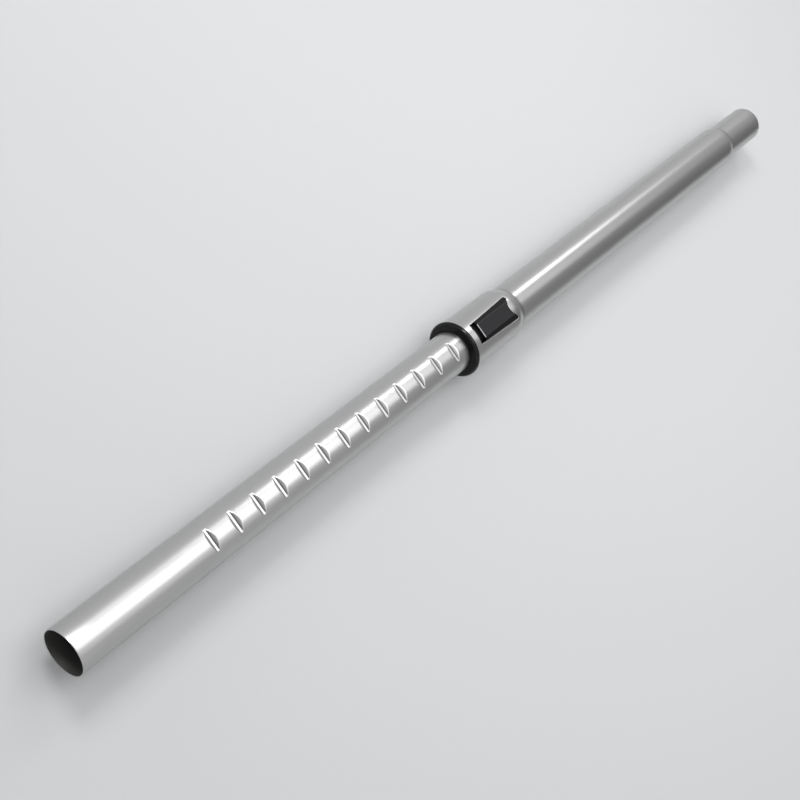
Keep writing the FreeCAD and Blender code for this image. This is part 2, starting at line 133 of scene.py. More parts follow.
# %% [markdown]
# ## The notched inner tube
# The inner tube is drawn steel with a row of notches pressed across its crown. A boolean cut could make
# them, but it leaves sharp lips, and pressing leaves round ones that catch the light. So a notch is a
# formula. Its bottom is a straight chord, whose radius is its height divided by the cosine of the
# angle. The smaller of that and the tube's own radius presses the notch, and a soft minimum rounds the
# lip. The rows of the grid bend with the lip, or its light would break into steps.

# %% Inner tube: the shape of a notch
INNER_R, INNER_WALL = 17.5, 0.7
NOTCH_WIDTH, NOTCH_FLOOR, NOTCH_DEPTH = 7.2, 2.1, 2.17  # along the tube at crown and bottom; below the crown
NOTCH_LIP, NOTCH_FOOT = 0.4, 0.15  # how far the pressed lip and the foot of a flank are rounded, mm
NOTCH_BOW = 0.25  # how much steeper than its mean a flank starts, and how much flatter it ends
FLOOR_HALF, FLOOR_HEIGHT = NOTCH_FLOOR / 2, INNER_R - NOTCH_DEPTH
FLANK_RUN = (NOTCH_WIDTH - NOTCH_FLOOR) / 2  # a flank's length along the tube at the crown
FLANK_RISE = NOTCH_DEPTH / FLANK_RUN
LEAST_COSINE = 0.05  # keeps the chord finite round the tube's lower half
ROW_SPACE = 0.5  # rows stay this far apart where the notch has ended, mm


def pressed_radius(away, angle, tube_r, sheet):
    """Smaller of the tube's radius and the notch's chord, height over cosine; the bore is a sheet lower."""
    floor = np.full_like(away, FLOOR_HEIGHT - sheet)
    run = away - FLOOR_HALF
    bowed = run * (1 + NOTCH_BOW * (1 - np.minimum(run / FLANK_RUN, 1)))
    flank = FLOOR_HEIGHT + FLANK_RISE * bowed - sheet * np.hypot(1, FLANK_RISE)
    chord = -soft_min(-floor, -flank, NOTCH_FOOT) / np.maximum(np.cos(angle), LEAST_COSINE)
    return soft_min(np.full_like(chord, tube_r), chord, NOTCH_LIP)


def rows_over_notch(angle, tube_r, sheet, floor_steps, flank_steps, past_lip):
    """Distances from a notch's middle: across its floor, up the flank to the lip, and past the lip.

    The lip lies where the bowed flank, a quadratic in the run, reaches the tube's radius times cosine.
    """
    foot = FLOOR_HALF + sheet * (np.hypot(1, FLANK_RISE) - 1) / FLANK_RISE
    rise = np.maximum(tube_r * np.cos(angle) - FLOOR_HEIGHT + sheet, 0) / (FLANK_RISE * FLANK_RUN)
    steep = 1 + NOTCH_BOW
    climb = FLANK_RUN * (steep - np.sqrt(steep ** 2 - 4 * NOTCH_BOW * rise)) / (2 * NOTCH_BOW)
    climb = np.hypot(climb, ROW_SPACE)
    floor = np.multiply.outer(floor_steps, np.full_like(angle, foot))
    flank = foot + np.multiply.outer(flank_steps, climb)
    half = np.concatenate([floor, flank, foot + climb + np.array(past_lip)[:, None]])
    return np.concatenate([-half[:0:-1], half])


print("notch floor:", FLOOR_HEIGHT, "flank rise:", round(FLANK_RISE, 3))

# %% [markdown]
# The bore has the same notches one sheet lower, because the steel is pressed and not cut. Outside and
# bore are joined over a rounded rim at the free end, and meet at the hidden end inside the bush.

# %% Inner tube: skins and rim
FREE_END, TAIL = node_ends("inner_tube")
NOTCH_FIRST, NOTCH_PITCH, NOTCHES = 119.5, 22.7, 15
NOTCH_ROOM = 8.0  # half the length round a notch that its rows may take, mm
CROWN_HALF = 34  # degrees to each side of the crown that have close columns
CROWN_COLUMNS, LOWER_COLUMNS = 61, 50
ROWS_BEFORE, ROWS_AFTER = 6, 8  # plain rows before the first notch and after the last
# Where rows lie: shares of half the floor, shares of the flank, and millimetres past the lip.
OUTSIDE_ROWS = ((0, 0.6, 0.9), (0, 0.06, 0.25, 0.55, 0.75, 0.84, 0.9, 0.95, 1), (0.12, 0.25, 0.42, 1.2))
BORE_ROWS = ((0,), (0, 0.15, 0.6, 1), (0.35, 1.2))
crown = np.radians(np.linspace(-CROWN_HALF, CROWN_HALF, CROWN_COLUMNS))
lower = np.radians(np.linspace(CROWN_HALF, 360 - CROWN_HALF, LOWER_COLUMNS))
around = np.concatenate([crown, lower[1:-1]])
notch_stations = NOTCH_FIRST + NOTCH_PITCH * np.arange(NOTCHES)
rim_r = INNER_WALL / 2
RIM_STEPS = 9


def tube_skin(tube_r, sheet, *steps):
    """Plain rows, then rows that follow every notch, then plain rows, all at the pressed radius."""
    rows = rows_over_notch(around, tube_r, sheet, *steps)
    notched = (notch_stations[:, None, None] + rows).reshape(-1, len(around))
    before = np.linspace(FREE_END + rim_r, notch_stations[0] - NOTCH_ROOM, ROWS_BEFORE)
    after = np.linspace(notch_stations[-1] + NOTCH_ROOM, TAIL, ROWS_AFTER)
    plain = [np.repeat(ends[:, None], len(around), axis=1) for ends in (before, after)]
    station = np.concatenate([plain[0], notched, plain[1]])
    away = np.abs(station[..., None] - notch_stations).min(axis=-1)
    return wand_point(station, pressed_radius(away, around, tube_r, sheet), around)


outer_skin = tube_skin(INNER_R, 0.0, *OUTSIDE_ROWS)
bore_skin = tube_skin(INNER_R - INNER_WALL, INNER_WALL, *BORE_ROWS)[::-1]
rim_turn = np.linspace(0, np.pi, RIM_STEPS)[1:-1, None]
rim_station = FREE_END + rim_r - rim_r * np.sin(rim_turn)
rim = wand_point(rim_station, INNER_R - rim_r - rim_r * np.cos(rim_turn), around)
notched_tube = piece_from_grids("notched_tube", (np.concatenate([outer_skin, bore_skin, rim]), True, True))

# %% [markdown]
# ## Rounded outlines
# The window, the button and the collar all start from a few corners. A corner is softened by cutting it
# back along both its sides and joining the cuts with a quadratic curve that aims at the old corner. The
# path is then sampled by its own length, so points can crowd where it turns.

# %% Rounded paths
CORNER_STEPS = 13


def rounded_path(corners, cuts, steps=CORNER_STEPS):
    """Corners cut back by given lengths, each replaced by a quadratic curve towards the old corner."""
    corners = np.asarray(corners, dtype=float)
    cuts = np.asarray(cuts, dtype=float)[:, None]
    back = np.roll(corners, 1, axis=0) - corners
    ahead = np.roll(corners, -1, axis=0) - corners
    start = corners + cuts * back / np.linalg.norm(back, axis=1, keepdims=True)
    end = corners + cuts * ahead / np.linalg.norm(ahead, axis=1, keepdims=True)
    done = np.linspace(0, 1, steps)[:, None]
    left = 1 - done
    curve = left ** 2 * start[:, None] + 2 * done * left * corners[:, None] + done ** 2 * end[:, None]
    return curve.reshape(-1, 2)


def sample_path(path, low, high, fractions):
    """Points of a path at fractions of its length between two of its own points."""
    length = np.concatenate([[0], np.cumsum(np.linalg.norm(np.diff(path, axis=0), axis=1))])
    wanted = length[low] + (length[high] - length[low]) * fractions
    return np.stack([np.interp(wanted, length, path[:, axis]) for axis in (0, 1)], axis=-1)


def both_halves(half):
    """A closed loop from half of it and its mirror image across the middle plane."""
    mirror = half[-2:0:-1] * np.array([1, -1])
    return np.concatenate([half, mirror])


print("steps round a corner:", CORNER_STEPS)

# %% [markdown]
# Window and button share one outline: straight near end, sides that lean apart, and a far end that a
# round tongue of the sheet reaches into. Both halves are alike, so only one is worked out. Each outline
# gets the same number of points, so a grid can run from it to another loop.

# %% Outline of window and button
EDGE_CELLS, SIDE_CELLS = 40, 56  # cells across half an end of an opening, and along one side
TONGUE_STEPS = 25


def half_opening(near, near_half, far, far_half, tongue_centre, tongue_r, near_cut, far_cut):
    """Half of the opening's plan, from the middle of its near end to the tip of the tongue behind it."""
    tongue_half = np.sqrt(tongue_r ** 2 - (tongue_centre - far) ** 2)
    turn = np.linspace(np.arcsin(tongue_half / tongue_r), 0, TONGUE_STEPS)
    tongue = np.stack([tongue_centre - tongue_r * np.cos(turn), tongue_r * np.sin(turn)], axis=-1)
    corners = np.array([[near, 0], [near, near_half], [far, far_half], [far, tongue_half]])
    path = rounded_path(corners, (0, near_cut, far_cut, 0))
    path = np.concatenate([path[CORNER_STEPS - 1 :], tongue[1:]])
    near_corner = 1 + CORNER_STEPS // 2
    far_corner = near_corner + CORNER_STEPS
    ease = np.linspace(0, 1, EDGE_CELLS + 1)
    along = (1 - np.cos(np.pi * np.linspace(0, 1, SIDE_CELLS + 1))) / 2
    return np.concatenate(
        [
            sample_path(path, 0, near_corner, np.sin(ease * np.pi / 2)),
            sample_path(path, near_corner, far_corner, along)[1:],
            sample_path(path, far_corner, len(path) - 1, 1 - np.cos(ease * np.pi / 2))[1:],
        ]
    )


print("points on an opening:", 2 * (2 * EDGE_CELLS + SIDE_CELLS))

# %% [markdown]
# ## The flared outer tube
# The outer tube is one sheet: a flared mouth with a window for the button, a dome down to the barrel,
# and a neck at the handle end. A Screw modifier could turn such a profile, but not with a window in it,
# so the profile is a function of the station. Each step is a circle's arc that leaves the tube level,
# and a soft minimum rounds the inside corner at its foot, as the swaging tool does.

# %% Outer tube: profile
MOUTH, HANDLE_END = node_ends("outer_tube")
BULGE_R, BARREL_R, NECK_R, SHEET = 22.4, 19.65, 17.4, 0.8
BULGE_LENGTH, DOME_RUN, NECK_RUN, NECK_LENGTH = 58.5, 10.5, 8.0, 63.0
BULGE_END, NECK = MOUTH + BULGE_LENGTH, HANDLE_END - NECK_LENGTH - NECK_RUN
CREASE = 1.8  # height over which the inside corner of a step is rounded, mm
ARC_SHARE = 0.85  # share of its radius that an arc may run, which keeps its square root real


def arc_radius(run, drop):
    """Radius of an arc that leaves level and falls: run squared plus drop squared, over two drops."""
    return (run ** 2 + drop ** 2) / (2 * drop)


def step_down(station, start, run, high, low):
    """A circle's arc that leaves the tube level and falls to the lower radius, ending in a crease."""
    rounding = arc_radius(run, high - low)
    past = np.clip(station - start, 0, rounding * ARC_SHARE)
    arc = high - rounding + np.sqrt(rounding ** 2 - past ** 2)
    return -soft_min(-arc, -np.full_like(arc, low), CREASE)


def outer_radius(station):
    """Flare and dome on the mouth's side of the barrel, barrel and neck on the other."""
    bulge = step_down(station, BULGE_END, DOME_RUN, BULGE_R, BARREL_R)
    neck = step_down(station, NECK, NECK_RUN, BARREL_R, NECK_R)
    return np.where(station < (BULGE_END + NECK) / 2, bulge, neck)


print("radius at the dome's foot:", outer_radius(np.array([BULGE_END + DOME_RUN])))

# %% [markdown]
# A plain grid can't follow the window, so round it the grid is laid like ripples round a stone: its
# inner loop is the window's edge, its outer loop a rectangle on the tube, and the rows go from one to
# the other. At the window the rows run over the rounded edge of the sheet and back along its inside, so
# the sheet has its real thickness.

# %% Outer tube: ring round the window
WINDOW_SETBACK, WINDOW_LENGTH = 7.5, 52.3
WINDOW_NEAR_HALF, WINDOW_FAR_HALF = 8.9, 10.9
TONGUE_HALF, TONGUE_REACH = 8.5, 4.9
RING_END = 478.4  # station at which the ripples end, on the dome
RIPPLES, RIPPLE_CROWDING = 25, 1.6  # rows from rectangle to window, and how they crowd at the window
EDGE_STEPS = 11
WINDOW_NEAR = MOUTH + WINDOW_SETBACK
WINDOW_FAR = WINDOW_NEAR + WINDOW_LENGTH
TONGUE_R = arc_radius(TONGUE_HALF, TONGUE_REACH)
TONGUE_CENTRE = WINDOW_FAR - TONGUE_REACH + TONGUE_R
window = both_halves(
    half_opening(
        WINDOW_NEAR, WINDOW_NEAR_HALF, WINDOW_FAR, WINDOW_FAR_HALF,
        TONGUE_CENTRE, TONGUE_R, near_cut=0.8, far_cut=1.6,
    )
)
window_angle = np.arcsin(window[:, 1] / outer_radius(window[:, 0]))
quarter = np.pi / 2
edge_angles = np.linspace(0, quarter, EDGE_CELLS + 1)
side_stations = np.linspace(MOUTH, RING_END, SIDE_CELLS + 1)
rectangle = both_halves(
    np.concatenate(
        [
            np.stack([np.full(EDGE_CELLS + 1, MOUTH), edge_angles], axis=-1),
            np.stack([side_stations, np.full(SIDE_CELLS + 1, quarter)], axis=-1)[1:],
            np.stack([np.full(EDGE_CELLS + 1, RING_END), edge_angles[::-1]], axis=-1)[1:],
        ]
    )
)
away = rectangle - np.stack([window[:, 0], window_angle], axis=-1)
reach = np.hypot(away[:, 0], away[:, 1] * BULGE_R)
edge_r = SHEET / 2
over_edge = np.linspace(0, np.pi, EDGE_STEPS)
edge_out = (edge_r - edge_r * np.sin(over_edge))[:, None] / reach
edge_depth = edge_r - edge_r * np.cos(over_edge)
ripple = (np.linspace(1, 0, RIPPLES + 1)[:-1] ** RIPPLE_CROWDING)[:, None]
skin = edge_out[0] + ripple * (1 - edge_out[0])
share = np.concatenate([skin, edge_out, skin[::-1]])
depth = np.concatenate([np.zeros(RIPPLES), edge_depth, np.full(RIPPLES, SHEET)])[:, None]
ring_station = window[:, 0] + share * away[:, 0]
ring_angle = window_angle + share * away[:, 1]
window_ring = wand_point(ring_station, outer_radius(ring_station) - depth, ring_angle)
print("window ring:", window_ring.shape)

# %% [markdown]
# Plain grids make the rest: two skins under the ring, the cut edge at the mouth, and one long wall that
# runs along the outside to the handle end, over its rounded lip and back along the bore.

# %% Outer tube: walls
UNDER_CELLS = 64
under_angles = np.linspace(quarter, 3 * quarter, UNDER_CELLS + 1)
under_skins = [
    wand_point(side_stations[:, None], (outer_radius(side_stations) - inwards)[:, None], under_angles)
    for inwards in (0, SHEET)
]
full_turn = np.concatenate([edge_angles, under_angles[1:], 4 * quarter - edge_angles[-2:0:-1]])
mouth_edge = wand_point(MOUTH, BULGE_R - np.array([[0], [SHEET]]), full_turn)
LONG_WALL_ROWS = (  # first station, last station and rows
    (RING_END, 485.0, 30),  # foot of the dome
    (490.0, NECK, 24),  # barrel
    (NECK + 0.5, 868.0, 8),  # round start of the neck
    (868.4, 876.0, 24),  # foot of the neck
    (880.0, HANDLE_END - edge_r, 6),  # handle end
)
tube_stations = np.concatenate([np.linspace(*stretch) for stretch in LONG_WALL_ROWS])
handle_lip = np.linspace(0, np.pi, RIM_STEPS)[1:-1]
tube_rows = np.concatenate(
    [tube_stations, HANDLE_END - edge_r + edge_r * np.sin(handle_lip), tube_stations[::-1]]
)
tube_depths = np.concatenate(
    [np.zeros(len(tube_stations)), edge_r - edge_r * np.cos(handle_lip), np.full(len(tube_stations), SHEET)]
)
long_wall = wand_point(tube_rows[:, None], (outer_radius(tube_rows) - tube_depths)[:, None], full_turn)
flared_tube = piece_from_grids(
    "flared_tube",
    (window_ring, False, True),
    *[(under_skin, False, False) for under_skin in under_skins],
    (mouth_edge, False, True),
    (long_wall, False, True),
)

# %% [markdown]
# ## The collar
# The collar is a moulded ring pressed into the mouth. It is a turned profile: a leaning face, a sloping
# rim and a spigot inside the tube. A mould never leaves a sharp corner, so every corner is rounded, and
# the one between face and rim is the thin bright line that runs round the real collar. A Bevel modifier
# rounds all corners alike, so here each corner says itself how far it is cut back.

# %% Collar
COLLAR_FACE, SPIGOT_END = node_ends("collar_ring")
COLLAR_GAP, SEAT_GAP = 0.3, 0.05  # round the inner tube, and in the mouth
FACE_LEAN, FACE_PROUD, COLLAR_LAND = 0.9, 0.2, 1.8
COLLAR_LIP, WIPER_SEAT_R = 2.2, 19.38
COLLAR_COLUMN = 2.5  # degrees from column to column
MOULD_STEPS = 7  # points round a corner of a moulding
collar_bore_r = INNER_R + COLLAR_GAP
spigot_r = BULGE_R - SHEET - SEAT_GAP
lip_back = COLLAR_FACE + COLLAR_LIP
collar_corners = np.array(  # station, radius, and how far the corner is cut back
    [
        (COLLAR_FACE, collar_bore_r, 0.5),
        (COLLAR_FACE + FACE_LEAN, BULGE_R + FACE_PROUD, 0.45),
        (MOUTH - COLLAR_LAND, AXIS_HEIGHT, 0.85),
        (MOUTH, AXIS_HEIGHT, 0.5),
        (MOUTH, spigot_r, 0.1),
        (SPIGOT_END, spigot_r, 0.3),
        (SPIGOT_END, WIPER_SEAT_R, 0.1),
        (lip_back, WIPER_SEAT_R, 0.1),
        (lip_back, collar_bore_r, 0.3),
    ]
)
collar_profile = rounded_path(collar_corners[:, :2], collar_corners[:, 2], MOULD_STEPS)
collar_turn = np.radians(np.arange(0, 360, COLLAR_COLUMN))
collar_skin = wand_point(collar_profile[:, :1], collar_profile[:, 1:], collar_turn)
collar = piece_from_grids("collar", (collar_skin, True, True))

# %% [markdown]
# ## The thumb button
# The button is a moulded cap in the window: a flat panel for the thumb, sides that slope away, and a
# hollow end that fits round the tongue of the sheet. Its outline is the window's, less a gap. A bevelled
# box could stand for it, but not with sides that lean and a hollow end, so the grid is again ripples,
# now inwards from the outline to a line down the middle, and height is a function of the plan.

# %% Thumb button: outline and height
BUTTON_NEAR, BUTTON_FAR = node_ends("slide_button")
BUTTON_TOP = round(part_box("slide_button")[1][2] / MM, 3) - AXIS_HEIGHT
END_GAP = WINDOW_FAR - BUTTON_FAR
SIDE_GAP = 0.56  # wider than the end's, because the sheet's edges lean in towards the axis
PANEL_HALF, PANEL_EDGE, SLOPE = 6.35, 0.35, np.tan(np.radians(33))
NAIL_EDGE, NAIL_SLOPE = 0.6, np.tan(np.radians(20))  # the flat that breaks the panel's near edge, mm
window_lean = (WINDOW_FAR_HALF - WINDOW_NEAR_HALF) / WINDOW_LENGTH


def button_half(station):
    """Half the button's width: the window's there, less the gap square to its leaning side."""
    return WINDOW_NEAR_HALF + window_lean * (station - WINDOW_NEAR) - SIDE_GAP * np.hypot(1, window_lean)


def button_height(plan):
    """Lowest of the panel, the slope beside it and the flat at its near edge, softly joined."""
    along, across = plan[..., 0] - BUTTON_NEAR, np.abs(plan[..., 1])
    near = BUTTON_TOP + np.minimum(along - NAIL_EDGE, 0) * NAIL_SLOPE
    return soft_min(near, BUTTON_TOP - (across - PANEL_HALF) * SLOPE, PANEL_EDGE)


button_loop = both_halves(
    half_opening(
        BUTTON_NEAR, button_half(BUTTON_NEAR), BUTTON_FAR, button_half(BUTTON_FAR),
        TONGUE_CENTRE, TONGUE_R + END_GAP, near_cut=0.8, far_cut=1.25,
    )
)
print("button half widths:", button_half(BUTTON_NEAR), button_half(BUTTON_FAR))

# %% [markdown]
# From the middle line the rows come out over the top, go over a rounded edge, down the skirt, and back
# under the cap, which leaves the roller its room.

# %% Thumb button: surface
SPINE = (434.0, 455.0)  # stations between which the middle line runs
BUTTON_EDGE, CAP = 0.3, 1.4  # rounding of the outer edge, and thickness of the cap, mm
SKIRT_R, SKIRT_DROP = 21.0, 0.9  # the skirt ends this far below a cylinder of this radius, mm
SKIRT_LEAST = 0.2  # least height of the skirt, mm
TOP_ROWS, TOP_CROWDING, UNDER_ROWS = 60, 1.15, 12
spine = np.stack([np.clip(button_loop[:, 0], *SPINE), np.zeros(len(button_loop))], axis=-1)
inward = spine - button_loop
inward_mm = np.linalg.norm(inward, axis=1)
edge_turn = np.linspace(0, np.pi / 2, MOULD_STEPS)
top_share = (np.linspace(1, 0, TOP_ROWS + 1)[:-1] ** TOP_CROWDING)[:, None]
edge_share = (BUTTON_EDGE - BUTTON_EDGE * np.sin(edge_turn))[:, None] / inward_mm
top_rows = edge_share[0] + top_share * (1 - edge_share[0])
skirt_share = np.zeros((1, len(inward_mm)))
under_rows = CAP / inward_mm + np.linspace(0, 1, UNDER_ROWS)[:, None] * (1 - CAP / inward_mm)
button_share = np.concatenate([top_rows, edge_share, skirt_share, under_rows[:1], under_rows])
button_plan = button_loop + button_share[..., None] * inward
button_up = button_height(button_plan)
edge_row = len(top_rows)
skirt_row = edge_row + len(edge_share)
under_row = skirt_row + 2
button_up[edge_row:skirt_row] -= (BUTTON_EDGE - BUTTON_EDGE * np.cos(edge_turn))[:, None]
skirt_up = np.sqrt(SKIRT_R ** 2 - button_plan[skirt_row:under_row, :, 1] ** 2) - SKIRT_DROP
button_up[skirt_row:under_row] = np.minimum(skirt_up, button_up[skirt_row - 1] - SKIRT_LEAST)
button_up[under_row:] = np.maximum(button_up[under_row:] - CAP, button_up[under_row - 1])
button_skin = (
    np.stack([button_plan[..., 0] - HALF_LENGTH, button_plan[..., 1], button_up + AXIS_HEIGHT], axis=-1) * MM
)
thumb_button = piece_from_grids("thumb_button", (button_skin, False, True))

# %% [markdown]
# ## Colours and nodes
# Colours are written as hex values and turned into linear light once. One small function
# adds a node, sets its properties and joins its inputs, so each finish below reads like a recipe. The
# inputs of a Mix node share their names, so they go by number: 2 and 3 for values, 6 and 7 for colours.

# %% Colour and node helpers
def linear(hex_colour):
    """sRGB hex to linear: divide by 12.92 near black, else the 2.4 power curve."""
    srgb = np.array([int(hex_colour[digit : digit + 2], 16) for digit in (1, 3, 5)]) / 255
    light = np.where(srgb <= 0.04045, srgb / 12.92, ((srgb + 0.055) / 1.055) ** 2.4)
    return (*light.tolist(), 1.0)


def add_node(tree, kind, inputs, **settings):
    """A node with its settings; an input is joined if it is a socket, or else set to the value."""
    node = tree.nodes.new(kind)
    for key, value in settings.items():
        setattr(node, key, value)
    for socket, value in inputs.items():
        if isinstance(value, bpy.types.NodeSocket):
            tree.links.new(value, node.inputs[socket])
        else:
            node.inputs[socket].default_value = value
    return node


def new_finish(name, hex_colour, **sockets):
    """A material with one Principled shader; the sockets are values that hold all over the surface."""
    material = bpy.data.materials.new(name)
    material.use_nodes = True
    shader = material.node_tree.nodes["Principled BSDF"]
    shader.inputs["Base Color"].default_value = linear(hex_colour)
    for socket, value in sockets.items():
        shader.inputs[socket.replace("_", " ")].default_value = value
    place = add_node(material.node_tree, "ShaderNodeTexCoord", {})
    return material, material.node_tree, shader, place.outputs["Object"]


print("linear middle grey:", linear("#808080"))

# %% [markdown]
# ## Satin chromed steel
# The tubes are drawn steel with a thin chrome plate. Drawing leaves faint lines along the tube that the
# plate follows, and handling dulls it in patches. One even roughness would look too clean, so a noise
# stretched a hundred times along the tube gives the lines, and a broad noise varies the shine.

# %% Chrome on the tubes
INNER_PLATE, OUTER_PLATE = "#b6b6b6", "#b4b4b4"
# Real drawing lines are about 0.05 mm apart; 0.6 mm is as fine as the render can show.
LINE_MM, PATCH_MM, STRETCH = 0.6, 30, 100


def chromed_steel(name, hex_colour, shine, line_mm, patch_mm):
    """Metal whose roughness follows fine drawn lines and broad patches; both sizes are in millimetres."""
    material, tree, shader, place = new_finish(name, hex_colour, Metallic=1.0)
    across = 1 / (line_mm * MM)
    stretched = add_node(
        tree, "ShaderNodeMapping", {"Vector": place, "Scale": (across / STRETCH, across, across)}
    )
    lines = add_node(
        tree, "ShaderNodeTexNoise", {"Vector": stretched.outputs[0], "Scale": 1.0, "Detail": 3.0}
    )
    patches = add_node(
        tree, "ShaderNodeTexNoise", {"Vector": place, "Scale": 1 / (patch_mm * MM), "Detail": 2.0}
    )
    both = add_node(tree, "ShaderNodeMath", {0: lines.outputs[0], 1: patches.outputs[0]}, operation="ADD")
    gloss = add_node(
        tree,
        "ShaderNodeMapRange",
        {"Value": both.outputs[0], "From Min": 0.6, "From Max": 1.4, "To Min": shine[0], "To Max": shine[1]},
    )
    tree.links.new(gloss.outputs[0], shader.inputs["Roughness"])
    bump = add_node(
        tree, "ShaderNodeBump", {"Height": lines.outputs[0], "Strength": 0.02, "Distance": 0.02 * MM}
    )
    tree.links.new(bump.outputs[0], shader.inputs["Normal"])
    return material


# Satin plate: bright bands of light with soft edges, a little softer on the handled inner tube.
inner_chrome = chromed_steel("satin_chromed_steel_inner", INNER_PLATE, (0.29, 0.33), LINE_MM, PATCH_MM)
outer_chrome = chromed_steel("satin_chromed_steel_outer", OUTER_PLATE, (0.28, 0.30), LINE_MM, PATCH_MM)
print("chromes:", inner_chrome.name, outer_chrome.name)

# %% [markdown]
# ## Painted shade in the creases
# An inside corner lies in shade, so the outer tube gets a soft darker band of painted shade where the
# dome meets the barrel, and another where the barrel steps down to the neck. It could be painted on the
# vertices, but a place along the wand is just the X of Object coordinates, so the distance from each
# crease is a few nodes.

# %% Painted shade in the creases of the outer tube
CREASE_STATIONS, CREASE_HALF = (481.6, 873.0), 3.0  # middles of the bands, and half their width, mm
# painted shade: a darker grey blended into the chrome over both creases
CREASE_SHADE_GREY = "#9c9c9c"


def tube_places(material):
    """Sockets for the way along the wand, the height, and the distance from the wand's axis."""
    tree = material.node_tree
    place = add_node(tree, "ShaderNodeTexCoord", {}).outputs["Object"]
    axes = add_node(tree, "ShaderNodeSeparateXYZ", {"Vector": place})
    across = add_node(
        tree,
        "ShaderNodeVectorMath",
        {0: place, 1: (0.0, 1.0, 1.0), 2: (0.0, 0.0, -AXIS_HEIGHT * MM)},
        operation="MULTIPLY_ADD",
    )
    off_axis = add_node(tree, "ShaderNodeVectorMath", {0: across.outputs[0]}, operation="LENGTH")
    return {"along": axes.outputs["X"], "up": axes.outputs["Z"], "off_axis": off_axis.outputs["Value"]}


outer_tree, outer_at = outer_chrome.node_tree, tube_places(outer_chrome)
shade_bands = []
for crease_station in CREASE_STATIONS:
    past_crease = add_node(
        outer_tree,
        "ShaderNodeMath",
        {0: outer_at["along"], 1: (crease_station - HALF_LENGTH) * MM},
        operation="SUBTRACT",
    )
    from_crease = add_node(outer_tree, "ShaderNodeMath", {0: past_crease.outputs[0]}, operation="ABSOLUTE")
    fading = add_node(
        outer_tree,
        "ShaderNodeMapRange",
        {"Value": from_crease.outputs[0], "From Max": CREASE_HALF * MM, "To Min": 1.0, "To Max": 0.0},
        interpolation_type="SMOOTHSTEP",
    )
    shade_bands.append(fading.outputs[0])
shaded = add_node(outer_tree, "ShaderNodeMath", {0: shade_bands[0], 1: shade_bands[1]}, operation="MAXIMUM")
outer_plate_and_shade = add_node(
    outer_tree,
    "ShaderNodeMix",
    {"Factor": shaded.outputs[0], 6: linear(OUTER_PLATE), 7: linear(CREASE_SHADE_GREY)},
    data_type="RGBA",
)
outer_shader = outer_tree.nodes["Principled BSDF"]
outer_tree.links.new(outer_plate_and_shade.outputs[2], outer_shader.inputs["Base Color"])
print("dull creases at", CREASE_STATIONS)

# %% [markdown]
# The notches have inside corners too, at the foot of each flank, and these lie in shade. A ping-pong of the
# station turns the row of notches into one distance from the nearest notch, and the distance from the axis
# says whether a point lies in a notch or on the tube, so one small set of nodes paints shade on the feet
# of all the flanks.

# %% Painted shade at the feet of the notches
SHADE_RISE = 0.9  # height above the floor at which the painted shade has faded out, mm
SHADE_FLOOR = 0.15  # strip along the floor's edges that is shaded too, mm
IN_NOTCH = 0.3  # depth below the tube's surface at which a point is in a notch, mm
# painted shade: the dark grey at the feet of the flanks
FOOT_SHADE_GREY = "#484848"


def all_of(tree, *masks):
    """One mask that is 1 only where all the given masks are: their product."""
    product = masks[0]
    for mask in masks[1:]:
        product = add_node(tree, "ShaderNodeMath", {0: product, 1: mask}, operation="MULTIPLY").outputs[0]
    return product


inner_tree, inner_at = inner_chrome.node_tree, tube_places(inner_chrome)
past_first = add_node(
    inner_tree,
    "ShaderNodeMath",
    {0: inner_at["along"], 1: (HALF_LENGTH - NOTCH_FIRST) * MM},
    operation="ADD",
)
from_notch = add_node(
    inner_tree, "ShaderNodeMath", {0: past_first.outputs[0], 1: NOTCH_PITCH / 2 * MM}, operation="PINGPONG"
)
on_flank = add_node(
    inner_tree,
    "ShaderNodeMath",
    {0: from_notch.outputs[0], 1: (FLOOR_HALF + FLANK_RUN / 2) * MM, 2: (FLANK_RUN / 2 + SHADE_FLOOR) * MM},
    operation="COMPARE",
)
sunk = add_node(
    inner_tree,
    "ShaderNodeMath",
    {0: inner_at["off_axis"], 1: (INNER_R - IN_NOTCH) * MM},
    operation="LESS_THAN",
)
low = add_node(
    inner_tree,
    "ShaderNodeMapRange",
    {
        "Value": inner_at["up"],
        "From Min": (AXIS_HEIGHT + FLOOR_HEIGHT) * MM,
        "From Max": (AXIS_HEIGHT + FLOOR_HEIGHT + SHADE_RISE) * MM,
        "To Min": 1.0,
        "To Max": 0.0,
    },
)
foot_shade = all_of(inner_tree, on_flank.outputs[0], low.outputs[0], sunk.outputs[0])
inner_plate_and_shade = add_node(
    inner_tree,
    "ShaderNodeMix",
    {"Factor": foot_shade, 6: linear(INNER_PLATE), 7: linear(FOOT_SHADE_GREY)},
    data_type="RGBA",
)
inner_shader = inner_tree.nodes["Principled BSDF"]
inner_tree.links.new(inner_plate_and_shade.outputs[2], inner_shader.inputs["Base Color"])
print("dull feet on", NOTCHES, "notches")

# %% [markdown]
# Nor does the plating reach far into the tubes' open ends, so the bores there are bare drawn steel with
# a rough, dull skin that mirrors nothing clearly and darkens with depth. Their colour is also a darker
# grey, which is painted shade inside the bore. A point is in the bore where it lies nearer the axis than
# the bright rim does. The floors of the notches lie as near, so the bare stretch is also bounded by two
# stations, and ends before the first notch.

# %% Bare bores with painted shade at the open ends
BORE_EDGE = 0.07  # the rim stays plated down to this height over the bore, mm
# the grey is painted shade inside the bores; the roughness is the bare steel's own
BORE_SHADE_GREY, BARE_ROUGHNESS = "#565554", 0.75
NEAR_BORE, HANDLE_BORE = (-1.0, 100.0), (880.0, 936.0)  # stations between which a bore is bare


